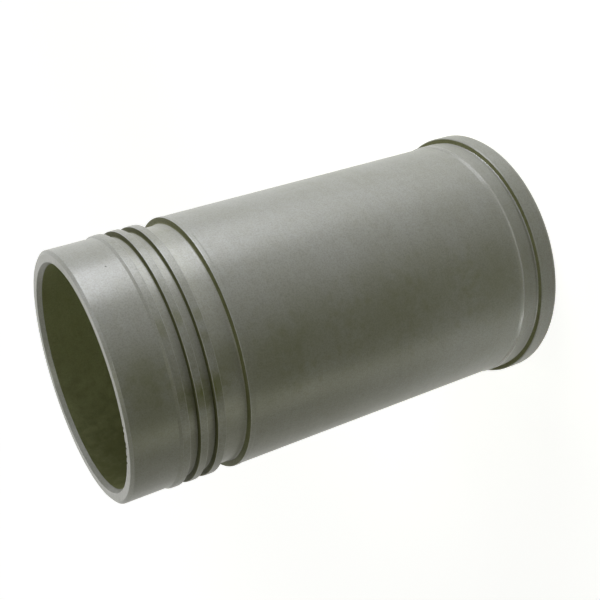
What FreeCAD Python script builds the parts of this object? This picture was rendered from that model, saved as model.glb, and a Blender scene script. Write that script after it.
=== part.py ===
"""Wet cylinder liner for a heavy-duty diesel engine, turned from one centrifugal iron casting.

The liner stands on its flange face: Z = 0 is the face that meets the head gasket, +Z runs along
the bore to the skirt end, and the origin is the centre of the flange face.  All sizes are in mm.

The whole part is one half-section revolved about Z.  The section is a list of corners, walked
from the flange face up the outside, over the skirt end and back down the bore.
"""
import FreeCAD, Part
import math
import os

from FreeCAD import Vector

# Overall
BORE_D = 139.7
LENGTH = 296.5

# Flange: hangs the liner in the counterbore of the block
FLANGE_D = 168.4
FLANGE_T = 12.5
FLANGE_TOP_CHAMFER_R = 1.2      # radial size of the chamfer at the gasket face
FLANGE_TOP_CHAMFER_Z = 2.0      # axial size of the same chamfer
FLANGE_EDGE_BREAK = 0.5         # edge of the seat

# Undercut that clears the corner of the counterbore: a fillet, then a slow run-out to the pilot
UNDERCUT_D = 161.4
UNDERCUT_W = 2.2
UNDERCUT_FILLET = 1.0

# Upper pilot: centres the liner below the flange
PILOT_D = 162.3
PILOT_L = 9.9
SHOULDER_L = 2.3                # cone from the pilot down to the body

# Body: the long plain wall with coolant round it
BODY_D = 160.7

# Collar: narrow band that closes the coolant space
COLLAR_D = 161.2
COLLAR_L = 2.6
COLLAR_RUNOUT = 0.8             # cone from the collar down to the body

# Seal zone, counted from the collar towards the skirt end
RELIEF_D = 152.2                # wide groove for the square-section seal
RELIEF_W = 15.3
RELIEF_FILLET = 1.8
LAND_D = 159.4
UPPER_LAND_W = 5.05
GROOVE_D = 151.4                # two round-ring grooves
GROOVE_W = 6.35
GROOVE_FILLET = 1.3
MIDDLE_LAND_W = 4.5
LOWER_LAND_W = 4.6
EDGE_ROUND = 0.3                # broken edges of the lands

# Skirt: runs free in the lower bore of the block
SKIRT_D = 157.0
SKIRT_STEP_L = 1.6              # cone from the lowest land down to the skirt
SKIRT_L = 29.05
LEAD_CHAMFER_R = 2.1            # outer lead-in at the skirt end, radial
LEAD_CHAMFER_Z = 1.55           # and axial

# Bore mouths
SKIRT_MOUTH_ANGLE = 29.0        # degrees from the axis
SKIRT_MOUTH_DEPTH = 3.1
FLANGE_MOUTH_CHAMFER = 1.0

# Lines of the section shorter than this are left out
LEAST_LINE = 1e-6


def seal_zone(z_collar_wall):
    """Corners from the collar's lower wall to the start of the skirt.

    Args:
        z_collar_wall: height of the wall between the collar and the relief.

    Returns:
        The list of (radius, z, fillet) corners, and the height where the lowest land ends.
    """
    corners = [(COLLAR_D / 2, z_collar_wall, EDGE_ROUND)]
    z = z_collar_wall
    cuts = (
        (RELIEF_D, RELIEF_W, RELIEF_FILLET, UPPER_LAND_W),
        (GROOVE_D, GROOVE_W, GROOVE_FILLET, MIDDLE_LAND_W),
        (GROOVE_D, GROOVE_W, GROOVE_FILLET, LOWER_LAND_W),
    )
    for number, (floor_d, width, fillet, land_w) in enumerate(cuts):
        if number:
            corners.append((LAND_D / 2, z, EDGE_ROUND))
        corners.append((floor_d / 2, z, fillet))
        z += width
        corners.append((floor_d / 2, z, fillet))
        corners.append((LAND_D / 2, z, EDGE_ROUND))
        z += land_w
    corners.append((LAND_D / 2, z, EDGE_ROUND))
    return corners, z


def half_section():
    """Corners of the closed half-section as (radius, z, fillet), fillet 0 where sharp."""
    z_skirt = LENGTH - SKIRT_L
    z_land_end = z_skirt - SKIRT_STEP_L
    seal_length = (RELIEF_W + UPPER_LAND_W + GROOVE_W + MIDDLE_LAND_W
                   + GROOVE_W + LOWER_LAND_W)
    z_collar_wall = z_land_end - seal_length
    z_collar = z_collar_wall - COLLAR_L
    z_undercut = FLANGE_T + UNDERCUT_W
    z_pilot = z_undercut + PILOT_L
    mouth_r = SKIRT_MOUTH_DEPTH * math.tan(math.radians(SKIRT_MOUTH_ANGLE))

    flange = [
        (FLANGE_D / 2 - FLANGE_TOP_CHAMFER_R, 0, 0),
        (FLANGE_D / 2, FLANGE_TOP_CHAMFER_Z, 0),
        (FLANGE_D / 2, FLANGE_T - FLANGE_EDGE_BREAK, 0),
        (FLANGE_D / 2 - FLANGE_EDGE_BREAK, FLANGE_T, 0),
    ]
    pilot = [
        (UNDERCUT_D / 2, FLANGE_T, UNDERCUT_FILLET),
        (UNDERCUT_D / 2, FLANGE_T + UNDERCUT_FILLET, 0),
        (PILOT_D / 2, z_undercut, 0),
        (PILOT_D / 2, z_pilot, 0),
    ]
    body = [
        (BODY_D / 2, z_pilot + SHOULDER_L, 0),
        (BODY_D / 2, z_collar - COLLAR_RUNOUT, 0),
        (COLLAR_D / 2, z_collar, 0),
    ]
    seals, z_end = seal_zone(z_collar_wall)
    skirt = [
        (SKIRT_D / 2, z_end + SKIRT_STEP_L, 0),
        (SKIRT_D / 2, LENGTH - LEAD_CHAMFER_Z, 0),
        (SKIRT_D / 2 - LEAD_CHAMFER_R, LENGTH, 0),
    ]
    bore = [
        (BORE_D / 2 + mouth_r, LENGTH, 0),
        (BORE_D / 2, LENGTH - SKIRT_MOUTH_DEPTH, 0),
        (BORE_D / 2, FLANGE_MOUTH_CHAMFER, 0),
        (BORE_D / 2 + FLANGE_MOUTH_CHAMFER, 0, 0),
    ]
    return flange + pilot + body + seals + skirt + bore


def rounded_corner(before, corner, after, radius):
    """Tangent points and middle of the arc that rounds one corner of a straight-sided outline."""
    to_before = (before - corner).normalize()
    to_after = (after - corner).normalize()
    half_angle = to_before.getAngle(to_after) / 2
    setback = radius / math.tan(half_angle)
    bisector = (to_before + to_after).normalize()
    middle = corner + bisector * (radius / math.sin(half_angle) - radius)
    return corner + to_before * setback, middle, corner + to_after * setback


def outline_wire(corners):
    """Closed wire through the corners in the XZ plane, with true arcs at the filleted ones.

    Where a fillet reaches the next corner, no line is left between them.
    """
    points = [Vector(r, 0, z) for r, z, _ in corners]
    count = len(points)
    stretches = []
    for i, (_, _, fillet) in enumerate(corners):
        if fillet:
            stretches.append(rounded_corner(points[i - 1], points[i], points[(i + 1) % count], fillet))
        else:
            stretches.append((points[i],))
    edges = []
    for i, stretch in enumerate(stretches):
        if len(stretch) == 3:
            edges.append(Part.Arc(*stretch).toShape())
        start, end = stretch[-1], stretches[(i + 1) % count][0]
        if start.distanceToPoint(end) > LEAST_LINE:
            edges.append(Part.makeLine(start, end))
    return Part.Wire(edges)


def cylinder_liner():
    """The liner as one revolved solid."""
    section = Part.Face(outline_wire(half_section()))
    return section.revolve(Vector(0, 0, 0), Vector(0, 0, 1), 360)


def main():
    """Write the liner as a STEP file."""
    os.makedirs("parts", exist_ok=True)
    liner = cylinder_liner()
    print("cylinder_liner: valid", liner.isValid(), "volume cm3", round(liner.Volume / 1000, 1))
    liner.exportStep("parts/cylinder_liner.step")


main()
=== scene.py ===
"""Looks, camera and light for the cylinder liner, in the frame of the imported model.

The liner is one turned piece.  Its half-section is written zone by zone, as a turner would name
them, and the lathe extrudes one ring after another along it.  All lengths are in metres.
"""
import logging
import math
import random
from dataclasses import dataclass
from enum import Enum
from itertools import pairwise

import bpy
import numpy as np
from mathutils import Matrix, Vector


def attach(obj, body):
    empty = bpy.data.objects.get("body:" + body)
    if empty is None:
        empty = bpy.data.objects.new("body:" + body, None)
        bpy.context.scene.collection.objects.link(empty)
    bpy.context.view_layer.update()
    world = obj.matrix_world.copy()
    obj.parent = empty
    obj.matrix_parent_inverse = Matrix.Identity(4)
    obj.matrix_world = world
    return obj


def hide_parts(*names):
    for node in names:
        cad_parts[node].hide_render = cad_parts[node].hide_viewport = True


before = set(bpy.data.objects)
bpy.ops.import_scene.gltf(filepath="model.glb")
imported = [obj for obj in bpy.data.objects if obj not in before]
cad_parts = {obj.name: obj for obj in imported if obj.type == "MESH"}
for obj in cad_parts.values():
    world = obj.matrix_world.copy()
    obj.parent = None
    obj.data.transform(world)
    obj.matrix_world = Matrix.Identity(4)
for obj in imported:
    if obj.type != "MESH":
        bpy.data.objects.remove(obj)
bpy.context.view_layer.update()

CAD_NODE = "cylinder_liner"
BODY = "root"
SEED = 41
MM = 0.001
MICRON = 1e-6

BORE_DIAMETER = 139.7 * MM
BREAK = 0.2 * MM              # broken edge left by the lathe
DEEP_STEPS = 6                # facets in the fillets that can be seen as such

# Radii of the walls that carry the darker olive patches, partly oily stains and partly painted
# shade.
SKIRT_WALL = 78.5 * MM
BODY_WALL = 80.3 * MM
LAND_WALL = 79.7 * MM
RELIEF_WALL = 76.1 * MM
GROOVE_WALL = 75.7 * MM

# Grain of the iron and of what lies on it.
PATCHES_PER_CLOUD = 5
MOTTLE_SIZE = 2.2 * MM
GRAIN_SIZE = 0.9 * MM
GRAIN_DEPTH = 1.6 * MICRON
MARKS_PER_BAND = 4            # tool marks in a broad band
BAND_LENGTH = 60 * MM
MARK_LENGTH = 25 * MM
STROKE_LENGTH = 80 * MM       # of a honing line
NOTCH_SIZE = 6 * MM           # of the notches in a patch's edge
NOTCH_SHARE = 0.9             # of a patch's reach, by which its edge wanders
PIT_CELL = 11 * MM            # of the grid that holds at most one pit in a cell
PIT_CHOICE = 0.02             # step between the cells that hold a pit and the others
DARK_SHARE = 0.5              # of the stained colour, in streaks and specks
ALONG_AXIS = 0.25             # quarter turn of the stretched gloss

# How much the clouds, tool marks, grain and the darker olive patches change the roughness.
ROUGH_CLOUDS = 0.10
ROUGH_MARKS = 0.06
ROUGH_GRAIN = 0.05
ROUGH_PATCHES = 0.06
MEAN_NOISE = 0.5

log = logging.getLogger("liner")

Colour = tuple[float, float, float]
Point = tuple[float, float, float]

# Colour of the darker olive patches: partly oily stain, partly painted shade.
STAIN_AND_SHADE: Colour = (0.17, 0.178, 0.065)
PIT: Colour = (0.03, 0.032, 0.018)
WHITE: Colour = (1.0, 1.0, 1.0)
COOL: Colour = (0.91, 0.925, 1.13)     # lamps over the outside
WARM: Colour = (0.98, 1.0, 0.93)       # lamps near the floor and in the bore


class Surface(Enum):
    """The finishes that the liner's surfaces carry, in the order of its material slots."""

    TURNED = 0
    GROUND = 1
    # Painted shade: walls, the fillets beside them and the flange's seat, which face away from the
    # lamps.
    GROOVED = 2
    FACED = 3
    HONED = 4
    # Partly edge wear, partly painted highlight: a lighter colour on rounded edges.
    WORN_EDGE = 5
    SHOULDER = 6
    # Painted light: a lighter colour on the floors of the recesses, against the shadow that their
    # walls cast.
    CUT = 7


class Wire:
    """One output of a material's nodes, with arithmetic that adds Math nodes."""

    def __init__(self, paint: "Paint", socket: bpy.types.NodeSocket | None) -> None:
        """Keep the socket and the paint it belongs to.

        Args:
            paint: the material's nodes.
            socket: the output that this wire carries.
        """
        self.paint = paint
        self.socket = socket

    def math(self, operation: str, first: "Value", second: "Value" = 0.0) -> "Wire":
        """Add a Math node.

        Args:
            operation: the node's operation.
            first: its first value.
            second: its second value.

        Returns:
            The node's result.
        """
        return self.paint.node("ShaderNodeMath", {"operation": operation}, {0: first, 1: second})

    def __add__(self, other: "Value") -> "Wire":
        """self + other."""
        return self.math("ADD", self, other)

    def __radd__(self, other: "Value") -> "Wire":
        """other + self."""
        return self.math("ADD", other, self)

    def __sub__(self, other: "Value") -> "Wire":
        """self - other."""
        return self.math("SUBTRACT", self, other)

    def __rsub__(self, other: "Value") -> "Wire":
        """other - self."""
        return self.math("SUBTRACT", other, self)

    def __mul__(self, other: "Value") -> "Wire":
        """self * other."""
        return self.math("MULTIPLY", self, other)

    def __rmul__(self, other: "Value") -> "Wire":
        """other * self."""
        return self.math("MULTIPLY", other, self)

    def __truediv__(self, other: "Value") -> "Wire":
        """self / other."""
        return self.math("DIVIDE", self, other)


Value = Wire | float | Colour | Point


class Paint:
    """The nodes of one material or world."""

    def __init__(self, owner: bpy.types.Material | bpy.types.World) -> None:
        """Clear the owner's nodes.

        Args:
            owner: the material or world.
        """
        self.owner = owner
        owner.use_nodes = True
        self.tree = owner.node_tree
        self.tree.nodes.clear()

    def node(self, kind: str, settings: dict[str, object] | None = None,
             values: dict[int | str, Value] | None = None, output: int | str = 0) -> Wire:
        """Add a node.

        Args:
            kind: the node's type.
            settings: its attributes, set first.
            values: numbers, colours or wires for its inputs.
            output: which output the wire carries.

        Returns:
            The wire of that output, which is empty for a node that has none.
        """
        made = self.tree.nodes.new(kind)
        for key, setting in (settings or {}).items():
            setattr(made, key, setting)
        for key, value in (values or {}).items():
            if isinstance(value, Wire):
                self.tree.links.new(value.socket, made.inputs[key])
            else:
                made.inputs[key].default_value = value
        return Wire(self, made.outputs[output] if made.outputs else None)

    def place(self) -> Wire:
        """Object coordinates, which are the frame's own."""
        return self.node("ShaderNodeTexCoord", output="Object")

    def axis(self, vector: Wire, name: str) -> Wire:
        """One coordinate, X, Y or Z, of a vector."""
        return self.node("ShaderNodeSeparateXYZ", values={0: vector}, output=name)

    def vector(self, x: Value, y: Value, z: Value) -> Wire:
        """A vector from three numbers."""
        return self.node("ShaderNodeCombineXYZ", values={0: x, 1: y, 2: z})

    def noise(self, vector: Wire, size: float, detail: float = 2.0, rough: float = 0.6) -> Wire:
        """Smooth noise from 0 to 1.

        Args:
            vector: where it is read.
            size: length of its main features, in the vector's own unit.
            detail: octaves.
            rough: weight of the finer octaves.

        Returns:
            The noise.
        """
        return self.node("ShaderNodeTexNoise", {"noise_dimensions": "3D"},
                         {"Vector": vector, "Scale": 1 / size, "Detail": detail, "Roughness": rough})

    def window(self, value: Value, low: float, high: float,
               start: float = 0.0, end: float = 1.0) -> Wire:
        """A smooth step.

        Args:
            value: what is read.
            low: value at which the step begins.
            high: value at which it is complete.
            start: result below the step.
            end: result above the step.

        Returns:
            The stepped value.
        """
        return self.node("ShaderNodeMapRange", {"interpolation_type": "SMOOTHSTEP"},
                         {"Value": value, "From Min": low, "From Max": high,
                          "To Min": start, "To Max": end})

    def blend(self, mask: Value, first: Value, second: Value) -> Wire:
        """Mix two colours.

        Args:
            mask: 0 gives the first colour, 1 the second.
            first: a colour.
            second: a colour.

        Returns:
            The mixed colour.
        """
        settings = {"data_type": "RGBA", "clamp_factor": True}
        values = {0: mask, 6: self.opaque(first), 7: self.opaque(second)}
        return self.node("ShaderNodeMix", settings, values, output=2)

    @staticmethod
    def opaque(colour: Value) -> Value:
        """A plain colour with its alpha, or a wire as it is."""
        return colour if isinstance(colour, Wire) else (*colour, 1.0)

    def finish(self, shader: Wire) -> bpy.types.Material | bpy.types.World:
        """Wire the shader to the output.

        Args:
            shader: the surface shader, or the world's background.

        Returns:
            The finished material or world.
        """
        is_world = isinstance(self.owner, bpy.types.World)
        kind = "ShaderNodeOutputWorld" if is_world else "ShaderNodeOutputMaterial"
        self.node(kind, values={"Surface": shader})
        return self.owner


@dataclass(frozen=True)
class Layer:
    """How a noise or a distance shows in a mask.

    Attributes:
        faint: its value where it begins to show.
        full: its value where it shows fully.
        weight: how much it adds to the mask.
    """

    faint: float
    full: float
    weight: float = 1.0

    def mask(self, paint: Paint, value: Wire) -> Wire:
        """Its part of the mask."""
        return paint.window(value, self.faint, self.full) * self.weight


# Where the noises of the film, the streaks and the specks begin and end to rise in their masks.
FILM_CLOUDS = Layer(0.35, 0.68, 0.9)
FILM_PATCHES = Layer(0.4, 0.7, 0.7)
FILM_MOTTLE = Layer(0.35, 0.7, 0.4)
STREAK_BANDS = Layer(0.3, 0.72)
STREAK_MARKS = Layer(0.3, 0.75, 0.8)
SPECKS = Layer(0.35, 0.72)
PIT_ROUND = Layer(0.065, 0.03, 0.75)   # in cells from the pit's middle


@dataclass(frozen=True)
class StainAndShadePatch:
    """A darker olive patch on the iron: partly an oily stain, partly painted shade.

    Attributes:
        degree: where it is round the liner, from the camera's side towards -X.
        height: its height above the gasket face.
        radius: radius of the wall that it lies on.
        reach: how far it spreads.
        weight: how much it shows, from 0 to 1.
        soft: share of its reach over which it fades.
    """

    degree: float
    height: float
    radius: float
    reach: float
    weight: float
    soft: float = 0.75

    def middle(self) -> Point:
        """Where its middle is."""
        angle = math.radians(self.degree)
        return (-math.sin(angle) * self.radius, -math.cos(angle) * self.radius, self.height)

    def mask(self, paint: Paint, place: Wire, ragged: Wire) -> Wire:
        """Its mask, with a ragged edge.

        Args:
            paint: the material's nodes.
            place: object coordinates.
            ragged: noise from 0 to 1 that breaks up the edge.

        Returns:
            The mask from 0 to its weight.
        """
        away = paint.node("ShaderNodeVectorMath", {"operation": "DISTANCE"},
                          {0: place, 1: self.middle()}, output="Value")
        near = away + (ragged - MEAN_NOISE) * (NOTCH_SHARE * self.reach)
        return paint.window(near, self.reach, (1 - self.soft) * self.reach) * self.weight


@dataclass(frozen=True)
class IronFinish:
    """One machined finish of the iron.

    Attributes:
        name: the material's name.
        clean: colour of the metal where it is clean.
        stained: colour where the film on it is thick.
        roughness: mean roughness.
        metallic: share that reflects as bare metal.
        gloss: specular level of the film that covers the metal.
        grooming: how strongly the tool marks stretch the gloss along the axis.
        film: how much of the stain shows, 0.5 for all of it.
        cloud: size of the clouds in the film.
        streaks: how much the rings round the axis show in the colour.
        grain: how much the fine grain shows in the colour.
        marks: spacing of the tool marks.
        mark_depth: depth of the tool marks.
        pits: share of the cells that hold a casting pit.
        hatch: slope of the honing lines from a level circle, 0 for none.
        stain_and_shade_patches: the darker olive patches, partly oily stains and partly painted
            shade.
    """

    name: str
    clean: Colour
    stained: Colour
    roughness: float
    metallic: float = 0.15
    gloss: float = 0.25
    grooming: float = 0.75
    film: float = 0.5
    cloud: float = 30 * MM
    streaks: float = 0.06
    grain: float = 0.32
    marks: float = 0.8 * MM
    mark_depth: float = 1.2 * MICRON
    pits: float = 0.0
    hatch: float = 0.0
    stain_and_shade_patches: tuple[StainAndShadePatch, ...] = ()

    def twisted(self, paint: Paint, place: Wire, turn: float) -> Wire:
        """Coordinates that wind about the axis, so that streaks in them run along a helix.

        Args:
            paint: the material's nodes.
            place: object coordinates.
            turn: radians for each metre of height.

        Returns:
            The wound coordinates.
        """
        angle = paint.axis(place, "Z") * turn
        return paint.node("ShaderNodeVectorRotate", {"rotation_type": "Z_AXIS"},
                          {"Vector": place, "Angle": angle})

    def rings(self, paint: Paint, place: Wire, spacing: float, length: float) -> Wire:
        """Streaks that run round the axis.

        Args:
            paint: the material's nodes.
            place: object coordinates.
            spacing: distance from one streak to the next.
            length: how long a streak is.

        Returns:
            The streaks, from 0 to 1.
        """
        x, y, z = (paint.axis(place, name) for name in "XYZ")
        radius = paint.node("ShaderNodeVectorMath", {"operation": "LENGTH"},
                            {0: paint.vector(x, y, 0.0)}, output="Value")
        streak = paint.vector(x / length, y / length, (z + radius) / spacing)
        return paint.noise(streak, 1.0, detail=3.0)

    def crosshatch(self, paint: Paint, place: Wire) -> Wire:
        """Honing lines that cross along two helices.

        Args:
            paint: the material's nodes.
            place: object coordinates.

        Returns:
            The lines, from 0 to 1.
        """
        turn = 1 / (BORE_DIAMETER / 2 * math.tan(self.hatch))
        strokes = []
        for way in (turn, -turn):
            wound = self.twisted(paint, place, way)
            u, v, w = (paint.axis(wound, name) for name in "XYZ")
            stroke = paint.vector(u / self.marks, v / self.marks, w / STROKE_LENGTH)
            strokes.append(paint.noise(stroke, 1.0))
        return paint.node("ShaderNodeMath", {"operation": "MAXIMUM"}, {0: strokes[0], 1: strokes[1]})

    def material(self) -> bpy.types.Material:
        """Build the finish.

        Returns:
            The material.
        """
        paint = Paint(bpy.data.materials.new(self.name))
        place = paint.place()
        clouds = paint.noise(place, self.cloud, detail=4.0, rough=0.55)
        patches = paint.noise(place, self.cloud / PATCHES_PER_CLOUD, detail=3.0)
        mottle = paint.noise(place, MOTTLE_SIZE, detail=3.0)
        grain = paint.noise(place, GRAIN_SIZE)
        bands = self.rings(paint, place, MARKS_PER_BAND * self.marks, BAND_LENGTH)
        if self.hatch:
            lines = self.crosshatch(paint, place)
        else:
            lines = self.rings(paint, place, self.marks, MARK_LENGTH)

        film = (FILM_CLOUDS.mask(paint, clouds) + FILM_PATCHES.mask(paint, patches)
                + FILM_MOTTLE.mask(paint, mottle))
        streaks = STREAK_BANDS.mask(paint, bands) + STREAK_MARKS.mask(paint, lines)
        specks = SPECKS.mask(paint, grain)
        colour = paint.blend(film * self.film, self.clean, self.stained)
        colour = paint.blend(streaks * self.streaks, colour, self.dark())
        colour = paint.blend(specks * self.grain, colour, self.dark())
        rough = (self.roughness + (clouds - MEAN_NOISE) * ROUGH_CLOUDS
                 + (lines - MEAN_NOISE) * ROUGH_MARKS + (grain - MEAN_NOISE) * ROUGH_GRAIN)
        # The darker olive patches: partly oily stains, partly painted shade.
        if self.stain_and_shade_patches:
            stain_and_shade = self.stain_and_shade(paint, place)
            colour = paint.blend(stain_and_shade, colour, STAIN_AND_SHADE)
            rough = rough + stain_and_shade * ROUGH_PATCHES
        if self.pits:
            colour = paint.blend(self.pit_mask(paint, place), colour, PIT)
        height = lines * self.mark_depth + grain * GRAIN_DEPTH + mottle * GRAIN_DEPTH
        bump = paint.node("ShaderNodeBump", None,
                          {"Strength": 1.0, "Distance": 1.0, "Height": height})
        shader = paint.node("ShaderNodeBsdfPrincipled", None, {
            "Base Color": colour, "Metallic": self.metallic, "Roughness": rough,
            "Specular IOR Level": self.gloss, "Anisotropic": self.grooming,
            "Anisotropic Rotation": ALONG_AXIS, "Normal": bump})
        return paint.finish(shader)

    def dark(self) -> Colour:
        """The darkened stained colour, for streaks and specks."""
        return tuple(DARK_SHARE * part for part in self.stained)

    def stain_and_shade(self, paint: Paint, place: Wire) -> Wire:
        """All the darker olive patches together, partly oily stains and partly painted shade.

        Args:
            paint: the material's nodes.
            place: object coordinates.

        Returns:
            Their mask.
        """
        ragged = paint.noise(place, NOTCH_SIZE, detail=4.0)
        masks = [patch.mask(paint, place, ragged) for patch in self.stain_and_shade_patches]
        return sum(masks[1:], masks[0])

    def pit_mask(self, paint: Paint, place: Wire) -> Wire:
        """Small round pits in a few of the cells of a grid of random points.

        Args:
            paint: the material's nodes.
            place: object coordinates.

        Returns:
            The pits, from 0 to 1.
        """
        settings = {"feature": "F1", "distance": "EUCLIDEAN"}
        values = {"Vector": place, "Scale": 1 / PIT_CELL, "Randomness": 1.0}
        distance = paint.node("ShaderNodeTexVoronoi", settings, values, output="Distance")
        chosen = paint.node("ShaderNodeTexVoronoi", settings, values, output="Color")
        first = 1 - self.pits
        held = paint.window(paint.axis(chosen, "X"), first, first + PIT_CHOICE)
        return held * PIT_ROUND.mask(paint, distance)


FINISHES: dict[Surface, IronFinish] = {
    Surface.TURNED: IronFinish(
        "turned_iron", (0.385, 0.385, 0.315), (0.34, 0.34, 0.26), 0.40,
        metallic=0.13, gloss=0.18, pits=0.10, stain_and_shade_patches=(
            # Painted shade: a darker olive band down the skirt and body on the side that faces the
            # camera, with ragged edges like oily stains.
            StainAndShadePatch(23.0, 281 * MM, SKIRT_WALL, 36 * MM, 0.38, 1.0),
            StainAndShadePatch(6.0, 280 * MM, SKIRT_WALL, 26 * MM, 0.36, 1.0),
            StainAndShadePatch(17.0, 208 * MM, BODY_WALL, 42 * MM, 0.36, 1.0),
            StainAndShadePatch(11.0, 175 * MM, BODY_WALL, 46 * MM, 0.32, 1.0),
            StainAndShadePatch(14.0, 130 * MM, BODY_WALL, 46 * MM, 0.36, 1.0),
            StainAndShadePatch(11.0, 90 * MM, BODY_WALL, 44 * MM, 0.34, 1.0),
            StainAndShadePatch(14.0, 45 * MM, BODY_WALL, 44 * MM, 0.38, 1.0))),
    Surface.GROUND: IronFinish(
        "ground_iron", (0.375, 0.375, 0.30), (0.30, 0.30, 0.22), 0.45,
        metallic=0.12, cloud=14 * MM, stain_and_shade_patches=(
            # Small olive stains on the lands at -11 to -1 degrees; the larger patches at 18 to 21
            # degrees paint shade on the side that faces the camera.
            StainAndShadePatch(-9.0, 264 * MM, LAND_WALL, 8 * MM, 0.30, 0.8),
            StainAndShadePatch(-11.0, 252.5 * MM, LAND_WALL, 7 * MM, 0.36, 0.8),
            StainAndShadePatch(-10.0, 241.5 * MM, LAND_WALL, 6 * MM, 0.36, 0.8),
            StainAndShadePatch(-1.0, 241.5 * MM, LAND_WALL, 5 * MM, 0.26, 0.8),
            StainAndShadePatch(18.0, 263.5 * MM, LAND_WALL, 12 * MM, 0.45, 1.0),
            StainAndShadePatch(21.0, 252.5 * MM, LAND_WALL, 12 * MM, 0.75, 0.9),
            StainAndShadePatch(20.0, 241.5 * MM, LAND_WALL, 13 * MM, 0.75, 0.9))),
    # Painted shade: a very dark olive colour for the walls, the fillets beside them and the flange's
    # seat.
    Surface.GROOVED: IronFinish(
        "wall_shade_iron", (0.21, 0.215, 0.10), (0.15, 0.155, 0.065), 0.6, gloss=0.1),
    Surface.FACED: IronFinish(
        "faced_iron", (0.41, 0.41, 0.34), (0.34, 0.34, 0.27), 0.38,
        metallic=0.18, gloss=0.2, cloud=20 * MM),
    Surface.HONED: IronFinish(
        "honed_iron", (0.44, 0.46, 0.225), (0.36, 0.375, 0.17), 0.6,
        metallic=0.0, gloss=0.1, grooming=0.2, marks=0.6 * MM, hatch=math.radians(24), stain_and_shade_patches=(
            # Painted shade: the lower side of the bore, which the lamps do not reach through the
            # mouth, is darkened and tinted olive.
            StainAndShadePatch(118.0, 270 * MM, BORE_DIAMETER / 2, 115 * MM, 1.0, 1.0),)),
    # Partly edge wear, partly painted highlight: a lighter colour on rounded edges and on the
    # undercut's bright line.
    Surface.WORN_EDGE: IronFinish(
        "edge_wear_and_highlight_iron", (0.47, 0.47, 0.41), (0.37, 0.37, 0.30), 0.36,
        metallic=0.25, cloud=10 * MM, film=0.4),
    Surface.SHOULDER: IronFinish(
        "shoulder_iron", (0.39, 0.39, 0.33), (0.34, 0.34, 0.28), 0.25,
        metallic=0.34, grooming=0.85, cloud=12 * MM, film=0.4),
    # Painted light: the floors of the relief, the grooves and the undercut are made lighter against
    # their walls' shadow; their patches paint shade on the side that faces the camera.
    Surface.CUT: IronFinish(
        "lit_floor_iron", (0.42, 0.42, 0.335), (0.36, 0.36, 0.265), 0.44, stain_and_shade_patches=(
            StainAndShadePatch(22.0, 247 * MM, GROOVE_WALL, 18 * MM, 0.55, 1.0),
            StainAndShadePatch(24.0, 258 * MM, GROOVE_WALL, 18 * MM, 0.5, 1.0),
            StainAndShadePatch(12.0, 232 * MM, RELIEF_WALL, 20 * MM, 0.42, 1.0))),
}


@dataclass(frozen=True)
class Ring:
    """One circle of the turned mesh.

    Attributes:
        radius: its radius.
        height: its height above the gasket face.
        surface: the finish of the band that follows it.
    """

    radius: float
    height: float
    surface: Surface


@dataclass(frozen=True)
class Corner:
    """A corner of the half-section.

    Attributes:
        radius: its distance from the axis.
        height: its height above the gasket face.
        fillet: the radius that rounds it.
        surface: the finish of the run that follows it.
        steps: how many facets the rounding has.
        rounding: the finish of the rounding itself.
        share: how much of the rounding carries that finish.
    """

    radius: float
    height: float
    fillet: float
    surface: Surface
    steps: int = 2
    rounding: Surface = Surface.WORN_EDGE
    share: float = 1.0

    def point(self) -> Vector:
        """The corner in the plane of the section."""
        return Vector((self.radius, self.height))

    def ring(self) -> Ring:
        """The corner as a ring, left sharp."""
        return Ring(self.radius, self.height, self.surface)


@dataclass(frozen=True)
class Flange:
    """The flange that hangs the liner in its block; the part stands on it.

    Attributes:
        diameter: its outer diameter.
        thickness: height of its seat above the gasket face.
        chamfer_in: chamfer at the gasket face, inwards.
        chamfer_up: chamfer at the gasket face, upwards.
        rim_break: rounding between that chamfer and the rim.
        seat_break: chamfer at the seat.
    """

    diameter: float = 168.4 * MM
    thickness: float = 12.5 * MM
    chamfer_in: float = 1.2 * MM
    chamfer_up: float = 2.0 * MM
    rim_break: float = 0.6 * MM
    seat_break: float = 0.5 * MM

    def corners(self) -> list[Corner]:
        """Corners from the gasket face up to the seat.

        Returns:
            The corners.
        """
        outer = self.diameter / 2
        return [
            Corner(outer - self.chamfer_in, 0.0, BREAK, Surface.FACED),
            Corner(outer, self.chamfer_up, self.rim_break, Surface.TURNED),
            Corner(outer, self.thickness - self.seat_break, BREAK, Surface.TURNED,
                   rounding=Surface.TURNED),
            # The seat carries painted shade.
            Corner(outer - self.seat_break, self.thickness, BREAK, Surface.GROOVED,
                   rounding=Surface.TURNED),
        ]


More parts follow.
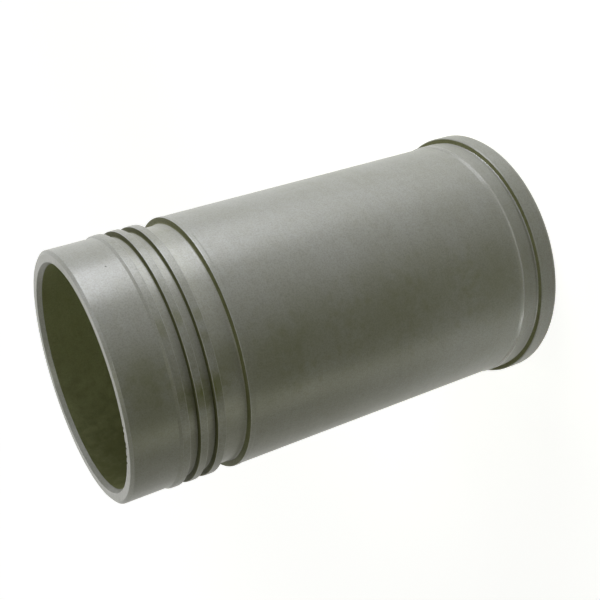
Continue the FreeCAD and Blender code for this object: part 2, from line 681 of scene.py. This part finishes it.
@dataclass(frozen=True)
class Pilot:
    """The band below the flange that centres the liner, with its undercut and shoulder.

    Attributes:
        undercut_diameter: diameter of the undercut's floor.
        undercut_width: distance from the seat to the pilot.
        undercut_fillet: fillet between the seat and the floor.
        undercut_shaded: share of that fillet that carries the painted shade of the grooves.
        floor_fillets: where the floor ends, in fillets above the seat.
        floor_break: rounding between the floor and its run-out.
        diameter: diameter of the pilot.
        length: length of the pilot.
        shoulder: length of the cone from the pilot to the body.
        shoulder_fillet: rounding between the pilot and the cone.
        shoulder_steps: facets in that rounding.
    """

    undercut_diameter: float = 161.4 * MM
    undercut_width: float = 2.2 * MM
    undercut_fillet: float = 1.0 * MM
    undercut_shaded: float = 0.4
    floor_fillets: float = 1.15
    floor_break: float = 0.1 * MM
    diameter: float = 162.3 * MM
    length: float = 9.9 * MM
    shoulder: float = 2.3 * MM
    shoulder_fillet: float = 4.0 * MM
    shoulder_steps: int = 4

    def corners(self, seat: float) -> list[Corner]:
        """Corners from the seat to the end of the pilot.

        Args:
            seat: height of the flange's seat.

        Returns:
            The corners.
        """
        start = seat + self.undercut_width
        floor = self.undercut_diameter / 2
        return [
            # The seat's fillet begins in painted shade and ends in a lighter colour that paints the
            # highlight of the undercut's bright line; the floor after it takes the floors' painted
            # light.
            Corner(floor, seat, self.undercut_fillet, Surface.WORN_EDGE, steps=DEEP_STEPS,
                   rounding=Surface.GROOVED, share=self.undercut_shaded),
            Corner(floor, seat + self.floor_fillets * self.undercut_fillet, self.floor_break,
                   Surface.CUT, rounding=Surface.CUT),
            Corner(self.diameter / 2, start, BREAK, Surface.TURNED, rounding=Surface.TURNED),
            Corner(self.diameter / 2, start + self.length, self.shoulder_fillet, Surface.TURNED,
                   steps=self.shoulder_steps, rounding=Surface.SHOULDER),
        ]

    def end(self, seat: float) -> float:
        """Height at which the shoulder cone reaches the body."""
        return seat + self.undercut_width + self.length + self.shoulder


@dataclass(frozen=True)
class SealZone:
    """Collar, wide relief and two ring grooves between ground lands.

    Attributes:
        collar_diameter: diameter of the collar beside the relief.
        collar_length: length of the collar.
        collar_runout: length of the cone from the body up to the collar.
        relief_diameter: diameter of the relief's floor.
        relief_width: width of the relief.
        relief_fillet: fillets of the relief.
        land_diameter: diameter of the lands.
        groove_diameter: diameter of the grooves' floors.
        groove_width: width of a groove.
        groove_fillet: fillets of a groove.
        land_widths: widths of the lands, from the relief to the skirt.
        land_break: broken edges of the collar and the lands.
        land_wear: how much lower the turned part of a land is than its ground part.
        wear_break: rounding where the ground part ends.
        ground_share: share of a land's width that is ground.
        shaded_share: share of a fillet beside a wall that carries the wall's painted shade.
    """

    collar_diameter: float = 161.2 * MM
    collar_length: float = 2.6 * MM
    collar_runout: float = 0.8 * MM
    relief_diameter: float = 152.2 * MM
    relief_width: float = 15.3 * MM
    relief_fillet: float = 1.8 * MM
    land_diameter: float = 159.4 * MM
    groove_diameter: float = 151.4 * MM
    groove_width: float = 6.35 * MM
    groove_fillet: float = 1.3 * MM
    land_widths: tuple[float, float, float] = (5.05 * MM, 4.5 * MM, 4.6 * MM)
    land_break: float = 0.3 * MM
    land_wear: float = 0.1 * MM
    wear_break: float = 0.4 * MM
    ground_share: float = 0.62
    shaded_share: float = 0.5

    def length(self) -> float:
        """Distance from the collar's wall to the end of the last land."""
        return self.relief_width + 2 * self.groove_width + sum(self.land_widths)

    def corners(self, wall: float) -> list[Corner]:
        """Corners from the collar's wall to the end of the last land.

        Args:
            wall: height of the wall between collar and relief.

        Returns:
            The corners.
        """
        relief = (self.relief_diameter / 2, self.relief_width, self.relief_fillet)
        groove = (self.groove_diameter / 2, self.groove_width, self.groove_fillet)
        ground = self.land_diameter / 2
        worn = ground - self.land_wear
        # The walls, and the fillets beside them, carry painted shade; the floors carry a lighter
        # colour, painted light.
        corners = [Corner(self.collar_diameter / 2, wall, self.land_break, Surface.GROOVED)]
        height = wall
        for (floor, width, fillet), land in zip((relief, groove, groove), self.land_widths):
            corners.append(Corner(floor, height, fillet, Surface.CUT, steps=DEEP_STEPS,
                                  rounding=Surface.GROOVED, share=self.shaded_share))
            height += width
            corners += [
                Corner(floor, height, fillet, Surface.GROOVED, steps=DEEP_STEPS,
                       rounding=Surface.CUT),
                Corner(ground, height, self.land_break, Surface.GROUND),
                Corner(ground, height + self.ground_share * land, self.wear_break,
                       Surface.GROUND),
            ]
            height += land
            corners.append(Corner(worn, height, self.land_break, Surface.GROOVED))
        return corners[:-1] + [Corner(worn, height, BREAK, Surface.TURNED)]


@dataclass(frozen=True)
class Skirt:
    """The free end, with its lead-in chamfer and end face.

    Attributes:
        diameter: its diameter.
        length: distance from its step to the end face.
        step: length of the cone from the last land down to it.
        chamfer_in: lead-in chamfer, inwards.
        chamfer_up: lead-in chamfer, along the axis.
    """

    diameter: float = 157.0 * MM
    length: float = 29.05 * MM
    step: float = 1.6 * MM
    chamfer_in: float = 2.1 * MM
    chamfer_up: float = 1.55 * MM

    def corners(self, top: float) -> list[Corner]:
        """Corners from the skirt's start to the outer edge of its end face.

        Args:
            top: height of the end face.

        Returns:
            The corners.
        """
        radius = self.diameter / 2
        return [
            Corner(radius, top - self.length, BREAK, Surface.TURNED, rounding=Surface.TURNED),
            Corner(radius, top - self.chamfer_up, BREAK, Surface.TURNED),
            Corner(radius - self.chamfer_in, top, BREAK, Surface.FACED),
        ]


@dataclass(frozen=True)
class Bore:
    """The honed cylinder wall and the chamfers at its two mouths.

    Attributes:
        diameter: its diameter.
        skirt_mouth_angle: angle between the axis and the chamfer at the skirt.
        skirt_mouth_depth: depth of that chamfer.
        flange_mouth: chamfer at the flange, both ways.
    """

    diameter: float = BORE_DIAMETER
    skirt_mouth_angle: float = math.radians(29.0)
    skirt_mouth_depth: float = 3.1 * MM
    flange_mouth: float = 1.0 * MM

    def mouth_radius(self) -> float:
        """Radius of the skirt's mouth in the end face."""
        return self.diameter / 2 + self.skirt_mouth_depth * math.tan(self.skirt_mouth_angle)

    def skirt_mouth_corners(self, top: float) -> list[Corner]:
        """Corners from the end face into the bore.

        Args:
            top: height of the end face.

        Returns:
            The corners.
        """
        return [
            Corner(self.mouth_radius(), top, BREAK, Surface.FACED),
            Corner(self.diameter / 2, top - self.skirt_mouth_depth, BREAK, Surface.HONED),
        ]

    def flange_mouth_corners(self) -> list[Corner]:
        """Corners from the bore out to the gasket face.

        Returns:
            The corners.
        """
        radius = self.diameter / 2
        return [
            Corner(radius, self.flange_mouth, BREAK, Surface.FACED),
            Corner(radius + self.flange_mouth, 0.0, BREAK, Surface.FACED),
        ]


class Bench:
    """Selecting by place, and switching modes."""

    @staticmethod
    def clear() -> None:
        """Leave edit mode and deselect everything."""
        if bpy.context.object is not None and bpy.context.object.mode != "OBJECT":
            bpy.ops.object.mode_set(mode="OBJECT")
        bpy.ops.object.select_all(action="DESELECT")

    @staticmethod
    def take(piece: bpy.types.Object) -> None:
        """Make one object the only selected one, and the active one.

        Args:
            piece: the object.
        """
        Bench.clear()
        piece.select_set(True)
        bpy.context.view_layer.objects.active = piece

    @staticmethod
    def pick(piece: bpy.types.Object, kind: str, chosen: np.ndarray) -> None:
        """Select exactly these vertices or faces, in edit mode.

        Args:
            piece: the object.
            kind: VERT or FACE.
            chosen: one truth value for each vertex or face.
        """
        Bench.take(piece)
        bpy.ops.object.mode_set(mode="EDIT")
        bpy.ops.mesh.select_mode(type=kind)
        bpy.ops.mesh.select_all(action="DESELECT")
        bpy.ops.object.mode_set(mode="OBJECT")
        elements = piece.data.vertices if kind == "VERT" else piece.data.polygons
        elements.foreach_set("select", chosen)
        bpy.ops.object.mode_set(mode="EDIT")


@dataclass(frozen=True)
class Lathe:
    """Turns a half-section into a mesh, one ring at a time.

    Attributes:
        segments: sides of every ring.
        hold: distance of the rings that hold the shading beside each corner.
        long_run: length of the shortest run that gets them, in such distances.
        most: share of a run that one rounding may take.
    """

    segments: int = 360
    hold: float = 0.3 * MM
    long_run: float = 4.0
    most: float = 0.45

    def rings(self, corners: list[Corner]) -> list[Ring]:
        """Round the corners and add the holding rings.

        Args:
            corners: the open half-section.

        Returns:
            The rings in order.
        """
        rings = [corners[0].ring()]
        for before, corner, after in zip(corners, corners[1:], corners[2:]):
            rings += self.rounded(before, corner, after)
        return self.held(rings + [corners[-1].ring()])

    def rounded(self, before: Corner, corner: Corner, after: Corner) -> list[Ring]:
        """The rings of one rounded corner.

        Args:
            before: the corner before it.
            corner: the corner.
            after: the corner after it.

        Returns:
            Its rings, the last one carrying the finish of the run that follows.
        """
        middle = corner.point()
        back, ahead = before.point() - middle, after.point() - middle
        half = back.angle(ahead) / 2
        reach = min(corner.fillet / math.tan(half), self.most * min(back.length, ahead.length))
        radius = reach * math.tan(half)
        back.normalize()
        ahead.normalize()
        centre = middle + (back + ahead).normalized() * (radius / math.sin(half))
        start = (middle + back * reach - centre).normalized()
        end = (middle + ahead * reach - centre).normalized()
        made = []
        for step in range(corner.steps + 1):
            spot = centre + start.slerp(end, step / corner.steps) * radius
            done = step >= corner.steps * corner.share
            made.append(Ring(spot.x, spot.y, corner.surface if done else corner.rounding))
        return made

    def held(self, rings: list[Ring]) -> list[Ring]:
        """Add a holding ring at each end of every long straight run.

        Args:
            rings: the rings in order.

        Returns:
            The same rings with the holding rings among them.
        """
        made = []
        for ring, after in pairwise(rings):
            made.append(ring)
            start = Vector((ring.radius, ring.height))
            run = Vector((after.radius, after.height)) - start
            if run.length > self.long_run * self.hold:
                for along in (self.hold / run.length, 1 - self.hold / run.length):
                    spot = start + run * along
                    made.append(Ring(spot.x, spot.y, ring.surface))
        return made + [rings[-1]]

    def turn(self, name: str, rings: list[Ring]) -> bpy.types.Object:
        """Extrude the rings and close the wall between the last and the first.

        Args:
            name: the object's name.
            rings: the rings in order.

        Returns:
            The object, at the origin.
        """
        Bench.clear()
        first = rings[0]
        bpy.ops.mesh.primitive_circle_add(
            vertices=self.segments, radius=first.radius, fill_type="NOTHING",
            location=(0, 0, first.height), enter_editmode=True)
        for before, ring in pairwise(rings):
            bpy.ops.mesh.extrude_region_move(
                TRANSFORM_OT_translate={"value": (0, 0, ring.height - before.height)})
            scale = ring.radius / before.radius
            bpy.ops.transform.resize(value=(scale, scale, 1), center_override=(0, 0, ring.height))
        bpy.ops.mesh.select_mode(type="EDGE")
        bpy.ops.mesh.select_all(action="DESELECT")
        bpy.ops.mesh.select_non_manifold()
        bpy.ops.mesh.bridge_edge_loops()
        bpy.ops.mesh.select_all(action="SELECT")
        bpy.ops.mesh.normals_make_consistent(inside=False)
        bpy.ops.object.mode_set(mode="OBJECT")
        bpy.ops.object.transform_apply(location=True, rotation=True, scale=True)
        bpy.ops.object.shade_smooth()
        piece = bpy.context.object
        piece.name = piece.data.name = name
        return piece


@dataclass(frozen=True)
class Nicks:
    """Small dents that handling leaves on the edge of the skirt's bore mouth.

    Attributes:
        degrees: where they are, from the camera's side towards -X.
        depth: how far the deepest may push the edge back.
        lightest: depth of the lightest, as a share of the deepest.
        drop: how far the edge drops, as a share of how far it goes back.
        reach: how far from its middle a nick moves the edge.
    """

    degrees: tuple[float, ...] = (27.0, 30.0, 35.5, 38.0, 43.0, 47.0)
    depth: float = 0.6 * MM
    lightest: float = 0.5
    drop: float = 0.6
    reach: float = 0.95 * MM

    def strike(self, piece: bpy.types.Object, radius: float, height: float) -> None:
        """Push the edge back at each nick.

        Args:
            piece: the turned mesh.
            radius: radius of the edge.
            height: height of the edge.
        """
        dice = random.Random(SEED)
        for degree in self.degrees:
            places = np.empty(len(piece.data.vertices) * 3)
            piece.data.vertices.foreach_get("co", places)
            angle = math.radians(degree)
            out = Vector((-math.sin(angle), -math.cos(angle), 0.0))
            spot = np.array((out.x * radius, out.y * radius, height))
            away = np.linalg.norm(places.reshape(-1, 3) - spot, axis=1)
            Bench.pick(piece, "VERT", away < self.reach)
            push = dice.uniform(self.lightest, 1.0) * self.depth
            bpy.ops.transform.translate(value=(out.x * push, out.y * push, -self.drop * push))
            bpy.ops.object.mode_set(mode="OBJECT")


@dataclass
class CylinderLiner:
    """The whole liner: one turned piece of iron.

    Attributes:
        length: its length.
        flange: the flange that it stands on.
        pilot: the band below the flange.
        body_diameter: diameter of the plain body.
        seals: the ring grooves and the lands.
        skirt: the free end.
        bore: the honed wall.
        lathe: what turns it.
        nicks: the dents in the edge of its mouth.
    """

    length: float = 296.5 * MM
    flange: Flange = Flange()
    pilot: Pilot = Pilot()
    body_diameter: float = 160.7 * MM
    seals: SealZone = SealZone()
    skirt: Skirt = Skirt()
    bore: Bore = Bore()
    lathe: Lathe = Lathe()
    nicks: Nicks = Nicks()

    def corners(self) -> list[Corner]:
        """The half-section, from the bore's lower mouth round the outside to its upper mouth.

        Returns:
            Its corners.
        """
        seat = self.flange.thickness
        wall = self.length - self.skirt.length - self.skirt.step - self.seals.length()
        collar = wall - self.seals.collar_length
        body = self.body_diameter / 2
        plain = Surface.TURNED
        return (
            self.bore.flange_mouth_corners()
            + self.flange.corners()
            + self.pilot.corners(seat)
            + [
                Corner(body, self.pilot.end(seat), BREAK, plain, rounding=plain),
                Corner(body, collar - self.seals.collar_runout, BREAK, plain, rounding=plain),
                Corner(self.seals.collar_diameter / 2, collar, BREAK, plain, rounding=plain),
            ]
            + self.seals.corners(wall)
            + self.skirt.corners(self.length)
            + self.bore.skirt_mouth_corners(self.length)
        )

    def build(self) -> bpy.types.Object:
        """Turn the mesh, dent its edge and dress it.

        Returns:
            The finished object.
        """
        rings = self.lathe.rings(self.corners())
        piece = self.lathe.turn("liner_turned", rings)
        self.dress(piece, rings)
        self.nicks.strike(piece, self.bore.mouth_radius(), self.length)
        return piece

    def dress(self, piece: bpy.types.Object, rings: list[Ring]) -> None:
        """Give each band of the mesh its finish.

        Args:
            piece: the turned mesh.
            rings: the rings that it was turned from.
        """
        for surface in Surface:
            piece.data.materials.append(FINISHES[surface].material())
        bands = list(zip(rings, rings[1:] + rings[:1]))
        middles = np.array([((low.radius + high.radius) / 2, (low.height + high.height) / 2)
                            for low, high in bands])
        slots = np.array([ring.surface.value for ring in rings])
        centres = np.empty(len(piece.data.polygons) * 3)
        piece.data.polygons.foreach_get("center", centres)
        centres = centres.reshape(-1, 3)
        flat = np.column_stack((np.hypot(centres[:, 0], centres[:, 1]), centres[:, 2]))
        nearest = np.array([np.argmin(((middles - spot) ** 2).sum(axis=1)) for spot in flat])
        for surface in Surface:
            Bench.pick(piece, "FACE", slots[nearest] == surface.value)
            piece.active_material_index = surface.value
            bpy.ops.object.material_slot_assign()
        Bench.clear()


@dataclass(frozen=True)
class Softbox:
    """A studio lamp that faces the liner.

    Attributes:
        name: its name.
        bearing: degrees round the liner from the camera's side, towards -X.
        rise: degrees above the level of its aim.
        size: its width and height.
        power: its power in watts.
        colour: the colour of its light.
        distance: how far it is from its aim.
        aim: the point that it faces.
        spread: degrees over which its louvres let the light out.
    """

    name: str
    bearing: float
    rise: float
    size: tuple[float, float]
    power: float
    colour: Colour = WHITE
    distance: float = 1.4
    aim: Point = (0.0, 0.0, 0.14)
    spread: float = 180.0

    def place(self) -> Vector:
        """Where the middle of the lamp is.

        Returns:
            Its place.
        """
        bearing, rise = math.radians(self.bearing), math.radians(self.rise)
        way = Vector((-math.sin(bearing) * math.cos(rise),
                      -math.cos(bearing) * math.cos(rise), math.sin(rise)))
        return Vector(self.aim) + way * self.distance

    def hang(self) -> None:
        """Put the lamp up."""
        Bench.clear()
        place = self.place()
        bpy.ops.object.light_add(type="AREA", location=place)
        lamp = bpy.context.object
        lamp.name = self.name
        lamp.data.shape = "RECTANGLE"
        lamp.data.size, lamp.data.size_y = self.size
        lamp.data.spread = math.radians(self.spread)
        lamp.data.energy = self.power
        lamp.data.color = self.colour
        lamp.rotation_euler = (Vector(self.aim) - place).to_track_quat("-Z", "Y").to_euler()


@dataclass(frozen=True)
class Studio:
    """Floor, surround, lamps and camera.

    Attributes:
        lamps: the softboxes.
        floor_radius: radius of the floor.
        floor_sides: sides of its rim.
        floor_colour: its colour under the lamps.
        glow_near: strength of the floor's own white beside the liner.
        glow_reach: distances between which that strength grows to 1.
        ambient: light of the surround.
        lens: the camera's focal length in millimetres.
        sensor: width of its sensor in millimetres.
        sight: how far it sees.
        eye: where it is.
        right: its right in the frame.
        up: its up in the frame.
        back: the way from what it sees to it.
    """

    lamps: tuple[Softbox, ...] = (
        Softbox("key_box", -74.0, 0.0, (0.8, 0.2), 7.9, COOL, 1.2, (0.0, 0.0, 0.20)),
        Softbox("key_soft_box", -75.0, 6.0, (0.3, 0.25), 0.98, COOL, 0.5, (0.0, 0.0, 0.175)),
        Softbox("top_box", -125.0, 62.0, (0.2, 0.2), 0.49, COOL, 0.4, (0.0, 0.0, 0.30)),
        Softbox("bore_box", 25.0, 72.0, (0.3, 0.3), 0.06, WARM, 0.9, (0.0, 0.0, 0.29), 30.0),
        Softbox("low_box", 68.0, 2.0, (0.2, 0.2), 0.36, WARM, 0.6, (0.0, 0.0, 0.03)),
        Softbox("flange_box", 72.0, 4.0, (0.15, 0.15), 0.025, COOL, 1.0, (0.0, 0.0, 0.0), 16.0),
        Softbox("back_box", 180.0, 40.0, (0.8, 0.8), 2.2),
    )
    floor_radius: float = 60.0
    floor_sides: int = 128
    floor_colour: Colour = (0.49, 0.50, 0.36)
    glow_near: float = 0.88
    glow_reach: tuple[float, float] = (0.3, 1.8)
    ambient: Colour = (0.01, 0.01, 0.01)
    lens: float = 64.66
    sensor: float = 36.0
    sight: float = 200.0
    eye: Point = (0.0, -0.6382, 0.4429)
    right: Point = (-0.30434, -0.40366, -0.86280)
    up: Point = (0.95253, -0.13569, -0.27250)
    back: Point = (-0.00707, -0.90479, 0.42580)

    def lay_floor(self) -> None:
        """A pale floor that shows white and keeps the shadow."""
        Bench.clear()
        bpy.ops.mesh.primitive_circle_add(
            vertices=self.floor_sides, radius=self.floor_radius, fill_type="NGON",
            location=(0, 0, 0))
        floor = bpy.context.object
        floor.name = "studio_floor"
        paint = Paint(bpy.data.materials.new("floor_pale"))
        away = paint.node("ShaderNodeVectorMath", {"operation": "LENGTH"}, {0: paint.place()},
                          output="Value")
        glow = self.seen(paint) * paint.window(away, *self.glow_reach, self.glow_near, 1.0)
        matt = paint.node("ShaderNodeBsdfDiffuse", None, {"Color": paint.opaque(self.floor_colour)})
        white = paint.node("ShaderNodeEmission", None,
                           {"Color": paint.opaque(WHITE), "Strength": glow})
        pale = paint.finish(paint.node("ShaderNodeAddShader", None, {0: matt, 1: white}))
        floor.data.materials.append(pale)

    def light_world(self) -> None:
        """A dim surround that shows white where it is seen, in metal too."""
        world = bpy.data.worlds.new("surround")
        bpy.context.scene.world = world
        paint = Paint(world)
        dim, white = (paint.node("ShaderNodeBackground", None, {"Color": paint.opaque(colour)})
                      for colour in (self.ambient, WHITE))
        paint.finish(paint.node("ShaderNodeMixShader", None,
                                {0: self.seen(paint), 1: dim, 2: white}))

    @staticmethod
    def seen(paint: Paint) -> Wire:
        """Find the rays that show the background: from the camera, a gloss or through glass.

        Args:
            paint: the nodes of the floor or the world.

        Returns:
            1 for such rays and 0 for the others.
        """
        rays = [paint.node("ShaderNodeLightPath", output=name)
                for name in ("Is Camera Ray", "Is Glossy Ray", "Is Transmission Ray")]
        return paint.node("ShaderNodeMath", {"operation": "ADD", "use_clamp": True},
                          {0: rays[0] + rays[1], 1: rays[2]})

    def stand_camera(self) -> None:
        """The camera at the photograph's viewing angle."""
        Bench.clear()
        bpy.ops.object.camera_add()
        camera = bpy.context.object
        camera.name = "photo_camera"
        turn = Matrix((self.right, self.up, self.back)).transposed()
        camera.matrix_world = Matrix.Translation(self.eye) @ turn.to_4x4()
        camera.data.lens = self.lens
        camera.data.sensor_width = self.sensor
        camera.data.clip_end = self.sight
        bpy.context.scene.camera = camera

    def set_up(self) -> None:
        """Build the studio."""
        bpy.context.scene.view_settings.view_transform = "Standard"
        self.lay_floor()
        self.light_world()
        for lamp in self.lamps:
            lamp.hang()
        self.stand_camera()


def main() -> None:
    """Build the liner and its studio."""
    logging.basicConfig(level=logging.INFO, format="%(name)s: %(message)s")
    piece = CylinderLiner().build()
    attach(piece, BODY)
    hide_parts(CAD_NODE)
    log.info("%s: %d faces", piece.name, len(piece.data.polygons))
    Studio().set_up()
    log.info("studio ready")


if __name__ == "__main__":
    main()
